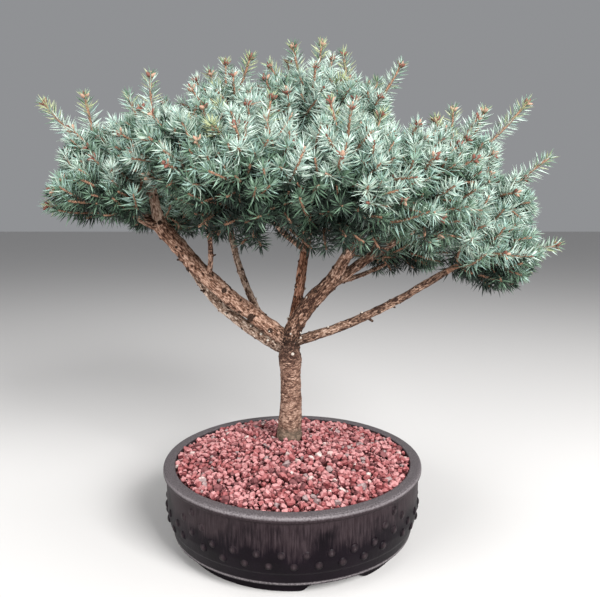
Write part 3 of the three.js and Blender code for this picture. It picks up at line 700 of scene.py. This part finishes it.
# Healed scar wood: dry, dull and nearly black.
scar_wood = speckled("healed_scar_wood", 0.85, 0.2, 1.0, 2.0, (0.35, "#1d1512"), (0.7, "#4d382b"))
peg_profile = [(0, -1.0), (1.3, -0.6), (1.1, 1.6), (0.95, 3.4), (0.6, 3.8), (0, 3.8)]
peg_count, wept_count = 26, 34
pegs = rng.permutation(len(scar_at))[:peg_count]
old_cuts = (
    ("left_main", 0.78, (-0.5, -0.5, -0.7)),
    ("left_main", 0.5, (0.5, -0.2, 0.85)),
    ("left_main", 0.28, (-0.3, -0.8, -0.3)),
    ("right_main", 0.62, (-0.6, -0.6, 0.4)),
    ("centre", 0.3, (-0.8, -0.5, 0.2)),
)
limb_girths = {"trunk": (trunk_radii[8], trunk_radii[8])} | {name: row[4:] for name, row in boughs.items()}


def on_limbs(rows, number, stray, draws):
    """Points on the skins of limbs and their ways out. Each row names a limb, how far along it and which way
    it faces, and gives that number of points, which stray from there by draws of the generator."""
    points, ways = [], []
    for name, at, way in rows:
        middle, slope = curve_at(*bough_curves[name], at)
        out = unit(np.array(way) - np.dot(way, slope) * slope)
        out = unit(out + draws.normal(0, 0.45 * stray, (number, 3)))
        girth = np.interp(at, (0, 1), limb_girths[name]) * np.interp(at, (0, 1), stouter.get(name, as_drawn))
        points.append(middle + girth * out + draws.normal(0, 2.2 * stray, (number, 1)) * slope)
        ways.append(out)
    return np.concatenate(points), np.concatenate(ways)


cut_at, cut_way = on_limbs(old_cuts, 6, 1.0, rng)
scar_skins = [
    knobs(cut_at, cut_way, stub_profile, rng.uniform(0.9, 1.7, len(cut_at)), 9),
    knobs(scar_at, scar_way, stub_profile, scar_size, 9),
    knobs(scar_at[pegs], scar_way[pegs], peg_profile, rng.uniform(0.7, 1.3, len(pegs)), 9),
]
scar_piece = new_piece("shoot_scars", *joined(scar_skins), scar_wood)
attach(scar_piece, "root")

near_knuckle = np.exp(-np.linalg.norm(scar_at - trunk_head, axis=1) / 40)
wept = rng.choice(len(scar_at), wept_count, replace=False, p=near_knuckle / near_knuckle.sum())
drop_profile = [(0, -0.5), (0.8, -0.3), (0.95, 0.3), (0.6, 0.8), (0, 1.0)]
drop_at = scar_at[wept] + 0.3 * scar_way[wept] + rng.normal(0, 0.3, (len(wept), 3))

# Spruce resin: dried to a hard greyish white, with a little gloss.
resin, tree, surface = new_material("dried_white_resin", 0.35, 0.5, "#b8aea3")
big_drops = (
    ("trunk", 0.9, (0.25, -0.95, 0.1)),
    ("left_low", 0.14, (-0.2, -0.9, 0.3)),
    ("left_low", 0.2, (0.3, -0.9, 0.4)),
    ("left_main", 0.14, (-0.1, -0.9, -0.2)),
    ("centre", 0.1, (-0.3, -0.9, 0.0)),
    ("centre", 0.42, (-0.9, -0.4, 0.1)),
    ("centre", 0.6, (0.3, -0.9, 0.1)),
    ("right_main", 0.2, (-0.2, -0.9, 0.2)),
    ("right_main", 0.66, (-0.7, -0.6, 0.5)),
    ("right_low", 0.09, (0.0, -0.8, 0.5)),
)
drip = np.random.default_rng(7)
big_at, big_way = on_limbs(big_drops, 1, 0.5, drip)
resin_skins = [
    knobs(drop_at, scar_way[wept], drop_profile, rng.uniform(0.9, 1.6, len(wept)), 8),
    knobs(big_at, big_way, drop_profile, drip.uniform(1.0, 2.0, len(big_at)), 8),
]
resin_piece = new_piece("resin_drops", *joined(resin_skins), resin)
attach(resin_piece, "root")


# Twigs: each bough's tip carries a stem to the heart of its mass of foliage. Shoots are set round the stem by
# the golden angle and reach to the skin of the mass, and side shoots branch from them, all turning up to the
# light.

masses = {
    "left_tip": ("left_outer", (-201, 30, 376), (38, 56, 41)),
    "left_low": ("left_side", (-174, -20, 340), (62, 60, 36)),
    "left_top": ("left_rise", (-134, 16, 394), (54, 58, 41)),
    "left_front": ("left_front", (-92, -60, 374), (56, 60, 42)),
    "left_back": ("left_low", (-146, 112, 338), (78, 70, 48)),
    "upper_left": ("left_inner", (-67, 44, 421), (60, 74, 47)),
    "top": ("centre", (16, 34, 431), (58, 76, 49)),
    "upper_right": ("centre_right", (66, 36, 418), (42, 74, 42)),
    "front_left": ("centre_front", (-38, -66, 350), (65, 66, 64)),
    "front_right": ("right_upper", (42, -70, 346), (64, 66, 66)),
    "right_inner": ("right_inner", (118, -46, 345), (60, 66, 60)),
    "right_top": ("right_outer", (164, 42, 380), (55, 64, 43)),
    "right_tip": ("right_far", (208, 36, 334), (46, 60, 38)),
    "right_low": ("right_low", (192, -4, 284), (57, 66, 44)),
    "right_under": ("right_back", (124, 112, 286), (62, 64, 43)),
    "back_left": ("back_left", (-88, 138, 372), (74, 66, 78)),
    "back": ("centre_back", (12, 148, 370), (66, 64, 82)),
    "back_right": ("back_right", (114, 134, 366), (68, 64, 56)),
}
leaders = {
    "left_tip": ((-254, 30, 441), (-200, 8, 446)),
    "left_low": ((-246, 0, 329),),
    "left_top": ((-168, 30, 449), (-138, 18, 467)),
    "left_back": ((-224, 168, 374),),
    "upper_left": ((-84, 24, 470), (-67, 40, 484), (-40, 62, 493)),
    "top": ((-30, 40, 478), (-2, 36, 498), (32, 52, 504)),
    "upper_right": ((50, 60, 496), (90, 36, 464), (116, 44, 480)),
    "front_left": ((-64, -64, 424), (-14, -58, 432)),
    "front_right": ((32, -62, 428), (82, -62, 416)),
    "right_top": ((137, 20, 424), (165, 50, 440), (198, 30, 434), (246, 40, 441)),
    "right_tip": ((263, 20, 386), (250, 60, 346)),
    "right_low": ((269, 0, 295), (236, -20, 269)),
    "back_left": ((-126, 194, 446),),
    "back": ((14, 208, 456),),
    "back_right": ((158, 190, 436),),
}
fresh_leaders = [0, 1, 8, 11, 19, 28]
hearts = np.array([row[1] for row in masses.values()], float)
reaches = np.array([row[2] for row in masses.values()], float)
crown_heart = np.array([10, 45, 360], float)


def inside(points, own):
    """Whether each point lies on its own mass's side of the planes between the mass and its neighbours."""
    weight = np.mean(reaches ** 2, axis=1)
    power = np.sum((points[..., None, :] - hearts) ** 2, -1) - weight
    mine = np.take_along_axis(power, own[..., None], -1)[..., 0]
    return mine <= power.min(-1) + 400


# Stems, with the lower end sunk in the bough's tip.
carriers = [np.array(part) for part in zip(*(bough_curves[row[0]] for row in masses.values()))]
tip_way = unit(carriers[2] - carriers[1])
stem_start = carriers[2] - 2 * tip_way
stem_bend = stem_start + tip_way * 0.4 * np.linalg.norm(hearts - stem_start, axis=1, keepdims=True)
stem_girth = np.array([boughs[row[0]][5] for row in masses.values()])

# First shoots. The way of a shoot follows an even spiral over a cap that faces out of the crown, upright
# shoots are longer, and the length falls until the tip is in the mass's own space. The needles reach a little
# past the tip.
shoot_count, cap_angle, lowest = 14, math.radians(125), 0.3
past_tip, upright = 11.0, 0.3
grid = np.meshgrid(np.arange(len(hearts)), np.arange(shoot_count), indexing="ij")
mass_of, shoot_of = (part.ravel() for part in grid)
fall = 1 + (math.cos(cap_angle) - 1) * (shoot_of + 0.5) / shoot_count
turn = shoot_of * golden_turn
spiral = np.stack([np.sqrt(1 - fall ** 2) * np.cos(turn), np.sqrt(1 - fall ** 2) * np.sin(turn), fall], -1)
facing = unit(hearts - crown_heart)[mass_of]
axle = np.cross(up, facing)
ways = spiral + np.cross(axle, spiral) + np.cross(axle, np.cross(axle, spiral)) / (1 + facing[:, 2:])
wave = 43758.5453 * np.sin(127.1 * mass_of + 311.7 * shoot_of)
length = (0.88 + 0.12 * (wave - np.floor(wave))) * (1 + upright * np.maximum(0, ways[:, 2]) ** 2)
spring_t = 1 - (1 - lowest) * shoot_of / (shoot_count - 1)
tips = np.zeros_like(ways)
found = np.zeros(len(ways), bool)
for shrink in (1, 0.92, 0.84, 0.76, 0.68, 0.6, 0.52):
    tried = hearts[mass_of] + ways * reaches[mass_of] * (shrink * length)[:, None] - past_tip * ways
    fits = inside(tried, mass_of) & ~found
    tips[fits] = tried[fits]
    found |= fits

# Leaders: the strongest shoots run straight out of the mass, and some of them carry fresh yellow-green tips.
leader_mass = np.array([list(masses).index(name) for name, points in leaders.items() for _ in points])
leader_point = np.concatenate([np.array(points, float) for points in leaders.values()])
leader_count = len(leader_point)
leader_tips = leader_point - past_tip * unit(leader_point - hearts[leader_mass])
mass_of = np.concatenate([leader_mass, mass_of[found]])
tips = np.concatenate([leader_tips, tips[found]])
spring_t = np.concatenate([np.full(leader_count, 0.8), spring_t[found]])[:, None]
leads = np.arange(len(tips)) < leader_count
root, root_way = curve_at(stem_start[mass_of], stem_bend[mass_of], hearts[mass_of], spring_t)
span = np.linalg.norm(tips - root, axis=1, keepdims=True)
square = unit((tips - root) - np.sum((tips - root) * root_way, 1, keepdims=True) * root_way)
light_foot = np.array([0.0, 45, 300])


def out_of_crown(points):
    """The way in which shoots at a point turn: away from the light's foot in mid-crown, and more upwards."""
    return unit((points - light_foot) * np.array([1, 0.7, 1.4]))


turned = unit(0.75 * out_of_crown(tips) + 0.35 * unit(tips - root))
leader_bend = (root + tips) / 2 + 0.06 * span * (square - 0.5 * up)
bend = np.where(leads[:, None], leader_bend, tips - 0.5 * span * turned)


def in_crown(points):
    """How deep each point lies in the crown: the sum over all masses of e^(2 - 2q), where q is its distance
    from the heart in units of the reach less the needles' length. It is high between masses, so that the
    valleys fill."""
    q = np.linalg.norm((points[:, None] - hearts) / (reaches - past_tip), axis=-1)
    return np.exp(2 - 2 * q).sum(-1)


skirt_z, shoulder_z = 320, 400
rise_sight = np.array([[-0.222, -0.022], [-0.236, 0.05]])
opening = 0.02


def over_rise(points):
    """Whether each point would hide the foot of the left bough's rise from the front, where the tree is
    pruned open: the slope of its sight line, sideways and upwards, comes within the opening of the rise's."""
    ahead = points[:, 1] - eye_mm[1]
    sight = (points - eye_mm)[:, ::2] / ahead[:, None]
    low, high = rise_sight
    along = np.clip((sight - low) @ (high - low) / np.sum((high - low) ** 2), 0, 1)
    off = np.linalg.norm(sight - low - along[:, None] * (high - low), axis=1)
    return (off < opening) & (points[:, 1] < 8)


def grow_shoots(start, bend, end, places, forward, aside, sunward, spans, least, deep):
    """Finer shoots along curves. At each place one springs, turned by the golden angle, on the way forward *
    slope + aside * spoke + sunward * the way out of the crown. It is cut back until its tip is deep enough in
    the crown, which is deeper at the top than at the skirt, and is left off when less than the least span is
    left."""
    parent = np.repeat(np.arange(len(start)), len(places))
    place = np.tile(places, len(start)) + rng.uniform(-0.05, 0.05, len(parent))
    root, slope = curve_at(start[parent], bend[parent], end[parent], place[:, None])
    across = unit(np.cross(slope, askew))
    turn = np.tile(np.arange(len(places)) * golden_turn, len(start))
    turn = turn + rng.uniform(0, 2 * np.pi, len(start))[parent]
    spoke = np.cos(turn)[:, None] * across + np.sin(turn)[:, None] * np.cross(slope, across)
    way = unit(forward * slope + aside * spoke + sunward * out_of_crown(root))
    span = rng.uniform(*spans, len(parent))
    need = np.interp(root[:, 2], (skirt_z, shoulder_z), deep) + rng.exponential(0.2, len(parent))
    tip = np.zeros_like(root)
    found = np.zeros(len(parent), bool)
    for shrink in (1, 0.88, 0.76, 0.64, 0.52):
        tried = root + way * (shrink * span)[:, None]
        open_view = ~over_rise(tried) & ~over_rise((root + tried) / 2)
        fits = ~found & (shrink * span > least) & (in_crown(tried) > need) & open_view
        tip[fits] = tried[fits]
        found |= fits
    length = np.linalg.norm(tip - root, axis=1, keepdims=True)
    curve = (root + tip) / 2 + length * (0.06 * slope - 0.05 * up)
    return parent[found], root[found], curve[found], tip[found]


# Second shoots stand round the lower part of the first, whose ends stay free. Third branch from the second.
second = grow_shoots(
    root, bend, tips, np.array([0.18, 0.32, 0.46, 0.6]),
    forward=0.55, aside=0.65, sunward=0.5, spans=(36, 62), least=20, deep=(1.1, 1.6),
)
third = grow_shoots(
    *second[1:], np.array([0.32]),
    forward=0.65, aside=0.7, sunward=0.3, spans=(18, 28), least=14, deep=(1.6, 2.2),
)

# Inner shoots fill the crown. Each grows to a place of a loose lattice that lies deep in the crown and is
# still bare, from the nearest wood below it, so that the crown is closed from every side. Two rounds are
# grown, each from all before.
fill_pitch, fill_loose, bare_gap = 22.0, 7.0, 17.0
fill_deep, fill_floor = (1.1, 1.4), 332


def on_curves(start, bend, end, places):
    """Points at the given shares of each curve's run, as one list."""
    places = np.asarray(places)[None, :, None]
    return curve_at(start[:, None], bend[:, None], end[:, None], places)[0].reshape(-1, 3)


groups = [(root, bend, tips), second[1:], third[1:]]
group_masses = [mass_of, mass_of[second[0]], mass_of[second[0]][third[0]]]
lattice_axes = [np.arange(low, high, fill_pitch) for low, high in zip(hearts.min(0) - 60, hearts.max(0) + 60)]
fill_places = np.stack(np.meshgrid(*lattice_axes, indexing="ij"), -1).reshape(-1, 3)
limb_wood = [on_curves(stem_start, stem_bend, hearts, (0.0, 0.5, 1.0)), on_curves(*carriers, (0.7, 0.85))]
for _ in range(2):
    leafy = np.concatenate([on_curves(*group, (0.4, 0.6, 0.8, 1.0)) for group in groups])
    wood = np.concatenate([leafy, *limb_wood])
    fill = fill_places + rng.uniform(-fill_loose, fill_loose, fill_places.shape)
    deep_enough = in_crown(fill) > np.interp(fill[:, 2], (skirt_z, shoulder_z), fill_deep)
    fill = fill[deep_enough & (fill[:, 2] > fill_floor) & ~over_rise(fill)]
    fill = fill[np.linalg.norm(fill[:, None] - leafy, axis=-1).min(1) > bare_gap]
    away = np.linalg.norm(fill[:, None] - wood, axis=-1)
    nearest = (np.maximum(away, bare_gap) + np.maximum(0, wood[:, 2] - fill[:, 2:])).argmin(1)
    foot = wood[nearest]
    sag = 0.08 * np.linalg.norm(fill - foot, axis=1, keepdims=True) * up
    groups.append((foot, (foot + fill) / 2 - sag, fill))
    group_masses.append(np.linalg.norm(fill[:, None] - hearts, axis=-1).argmin(1))

# All shoots: first, second, third and the two rounds of inner ones, each with the share of it that is bare
# below.
shoot_start, shoot_bend, shoot_tip = (np.concatenate(parts) for parts in zip(*groups))
shoot_mass = np.concatenate(group_masses)
rank_of = np.repeat(np.arange(len(groups)), [len(group[0]) for group in groups])
shoot_bare = np.array([0.25, 0.06, 0.04, 0.1, 0.1])[rank_of]
shoot_span = np.linalg.norm(shoot_tip - shoot_start, axis=1)


def twig_skins(start, bend, end, girth, tip_girth, rings, around):
    """Tapering twigs along quadratic curves, closed at both ends, all with the same number of rings."""
    t = np.linspace(0, 1, rings)[None, :, None]
    path, slope = curve_at(start[:, None], bend[:, None], end[:, None], t)
    radii = girth[:, None] + (tip_girth - girth[:, None]) * t[..., 0]
    skin, _ = ringed(path, slope, radii, around)
    return loft(placed(skin), placed(start), placed(end + slope[:, -1] * tip_girth))


# Young spruce bark: tan with a rosy cast on the shoots, ribbed by the pegs that the needles stand on.
twig_bark = speckled("rosy_tan_twig_bark", 0.75, 0.3, 1.6, 2.0, (0.35, "#664a3a"), (0.66, "#a67d65"))
mass_nodes = ["needles_" + name for name in masses]

# Each group's radius at the foot and at the tip, its rings and its points in a ring.
twig_sizes = ((2.0, 1.1, 9, 6), (1.5, 1.0, 6, 5), (1.1, 0.8, 4, 4), (1.3, 0.9, 4, 4), (1.3, 0.9, 4, 4))
twig_parts = [twig_skins(stem_start, stem_bend, hearts, stem_girth, 2.2, 12, 10)]
for group, (girth, *rest) in zip(groups, twig_sizes):
    twig_parts.append(twig_skins(*group, np.full(len(group[0]), girth), *rest))
twigs = new_piece("twigs", *joined(twig_parts), twig_bark)
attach(twigs, "root")
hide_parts(*mass_nodes)


# Needles: flat stiff blades about 14 mm long, set singly round the shoot and raked forward, silver-blue with
# wax on the outer shoots and greener inside, with darker tints dealt as painted shade deep in the crown and
# under its skirt. Each spray has a main colour.

needle_mm, needle_wide_mm, needle_thick_mm = 15.5, 1.25, 0.95
needles_per_mm, crown_needles, leader_thinned = 2.3, 10, 0.8
bare_mm = shoot_bare * shoot_span
out_in = np.linalg.norm((shoot_tip - hearts[shoot_mass]) / reaches[shoot_mass], axis=1)
thinned = np.clip(0.4 + 0.8 * out_in, 0.55, 1)
thinned[:leader_count] = leader_thinned
count = (needles_per_mm * thinned * (shoot_span - bare_mm)).astype(int) + crown_needles
shoot = np.repeat(np.arange(len(count)), count)
place_in = np.arange(len(shoot)) - np.repeat(np.cumsum(count) - count, count)
share = (place_in + rng.uniform(0.1, 0.9, len(shoot))) / (count[shoot] - crown_needles)
crowning = share > 1
share = np.minimum(share, 1)
t = (shoot_bare[shoot] + (1 - shoot_bare[shoot]) * share)[:, None]
foot, slope = curve_at(shoot_start[shoot], shoot_bend[shoot], shoot_tip[shoot], t)
across = unit(np.cross(slope, askew))
other = np.cross(slope, across)
turn = (place_in * golden_turn + shoot * 1.7 + rng.normal(0, 0.25, len(shoot)))[:, None]
outward = unit(np.cos(turn) * across + np.sin(turn) * other + 0.15 * up)
crown_rake = rng.uniform(28, 58, len(shoot))
side_rake = 78 - 20 * share ** 2 + rng.normal(0, 7, len(shoot))
rake = np.radians(np.where(crowning, crown_rake, side_rake))[:, None]
way = unit(np.cos(rake) * slope + np.sin(rake) * outward)
size = needle_mm * (1.05 - 0.4 * share ** 3) * rng.uniform(0.8, 1.1, len(shoot))
size = size[:, None]
flat = unit(np.cross(way, outward) + 0.4 * rng.normal(size=way.shape))
flat = unit(flat - np.sum(flat * way, 1, keepdims=True) * way)
edge = np.cross(way, flat)
corners = np.array([[0.5, -0.33], [0.0, 0.67], [-0.5, -0.33]]) * (needle_wide_mm, needle_thick_mm)
middle = foot + 0.45 * size * way
blade = (middle[:, None] + corners[:, :1] * flat[:, None] + corners[:, 1:] * edge[:, None])[:, None]
point = foot + size * way + 0.06 * size * slope

# Needle wax: the colours run from the best lit shoots to the most shaded, whose darker tints are painted
# shade, and the last is for fresh tips.
needle_colours = (
    ("silver_blue", "#bccdc3"),
    ("silver_grey", "#a8b8aa"),
    ("blue_green", "#8faba1"),
    ("grey_green", "#7b9482"),
    ("leaf_green", "#5c7660"),
    ("deep_green", "#435948"),
    ("shade_green", "#1a2820"),
    ("young_yellow_green", "#a5ad86"),
)
full_piece = 32000
young_kind = len(needle_colours) - 1
skirt_mid, skirt_deep, young_floor = 362, 50, 385
# Painted light and shade: each shoot is ranked by its height, how far out it lies and how far above the
# skirt, with a random part, and the lighter ranks get the lighter tints. Needles deep in a mass are dealt
# darker ones still, and those near a shoot's foot one step darker.
height_in = (shoot_tip - hearts[shoot_mass])[:, 2] / reaches[shoot_mass, 2]
side_light = 0.15 * unit(shoot_tip - crown_heart) @ np.array([0.4, 0, 1.2])
skirt_rise = np.maximum(0.4 * shoot_tip[:, 0], -0.12 * shoot_tip[:, 0])
from_skirt = np.clip((shoot_tip[:, 2] - skirt_mid + skirt_rise) / skirt_deep, -1.2, 0.3)
light = side_light + 0.2 * height_in + 0.8 * out_in + 0.8 * from_skirt + rng.normal(0, 0.25, len(out_in))
rank = np.argsort(np.argsort(light)) / len(light)
least_ranks = np.array([0.82, 0.58, 0.38, 0.26, 0.16, 0.08])
main_colour = np.searchsorted(-least_ranks, -rank)
depth = 1 - np.linalg.norm((foot - hearts[shoot_mass[shoot]]) / reaches[shoot_mass[shoot]], axis=1)
dealt = main_colour[shoot] + np.select([depth > 0.6, depth > 0.35], [2, 1], 0) + (share < 0.25)
dealt = dealt + rng.choice([-1, 0, 1, 2], len(dealt), p=[0.2, 0.4, 0.25, 0.15])
dealt = np.clip(dealt, 0, young_kind - 1)
young = rng.random(len(shoot_tip)) < 0.03
young[:leader_count] = np.isin(np.arange(leader_count), fresh_leaders)
dealt = np.where(young[shoot] & (share > 0.72) & (foot[:, 2] > young_floor), young_kind, dealt)
olive = (shoot < leader_count) & (rng.random(len(dealt)) < 1.4 * share - 0.55)
dealt = np.where(olive, rng.choice([3, 4, young_kind], len(dealt), p=[0.4, 0.25, 0.35]), dealt)
for kind, (name, code) in enumerate(needle_colours):
    wax, tree, surface = new_material(name + "_needle_wax", 0.5, 0.4, code)
    mine = np.flatnonzero(dealt == kind)
    for part, start in enumerate(range(0, len(mine), full_piece)):
        these = mine[start:start + full_piece]
        skins = loft(placed(blade[these]), placed(foot[these]), placed(point[these]))
        spray = new_piece(f"needles_{name}_{part + 1}", *skins, wax, smooth=False)
        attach(spray, "root")
        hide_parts(*mass_nodes)


# Buds: the resting buds at the shoots' tips, red-brown scales with papery edges, in a cluster on the stronger
# shoots and singly on some of the others.

bud_profile = [(0, -1.0), (1.2, -0.4), (1.7, 0.9), (1.3, 2.8), (0.5, 4.2), (0, 4.8)]
cluster = np.array([[0, 0, 1.0], [0.9, 0, 0.62], [-0.45, 0.78, 0.62], [-0.45, -0.78, 0.62]])
bud_chance = rng.random(len(rank_of))
bud_rows = [
    ((rank_of == 0) & (bud_chance < 0.85) & (rank > 0.2), cluster, 1.25),
    ((rank_of > 0) & (bud_chance < 0.25) & (rank > 0.45), cluster[:1], 0.9),
]
bud_at, bud_out, bud_size = [], [], []
for budded, spread, size in bud_rows:
    tip_way = unit(shoot_tip - shoot_bend)[budded]
    across = unit(np.cross(tip_way, np.array([0.4, 0.3, 0.86])))
    other = np.cross(tip_way, across)
    for side, aslant, on in spread:
        bud_out.append(unit(side * across + aslant * other + on * tip_way))
        bud_at.append(shoot_tip[budded] + 1.1 * (side * across + aslant * other))
        bud_size.append(size * (0.7 + 0.3 * on) * rng.uniform(0.85, 1.15, len(tip_way)))
bud_at, bud_out, bud_size = (np.concatenate(rows) for rows in (bud_at, bud_out, bud_size))
bud_deal = rng.random(len(bud_at)) < 0.6
for name, code, mine in (("red_brown", "#7a4c40", bud_deal), ("papery_tan", "#ac8a76", ~bud_deal)):
    bud_scales, tree, surface = new_material(name + "_bud_scales", 0.6, 0.35, code)
    skins = knobs(bud_at[mine], bud_out[mine], bud_profile, bud_size[mine], 6)
    buds = new_piece("buds_" + name, *skins, bud_scales)
    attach(buds, "root")
    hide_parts(*mass_nodes)
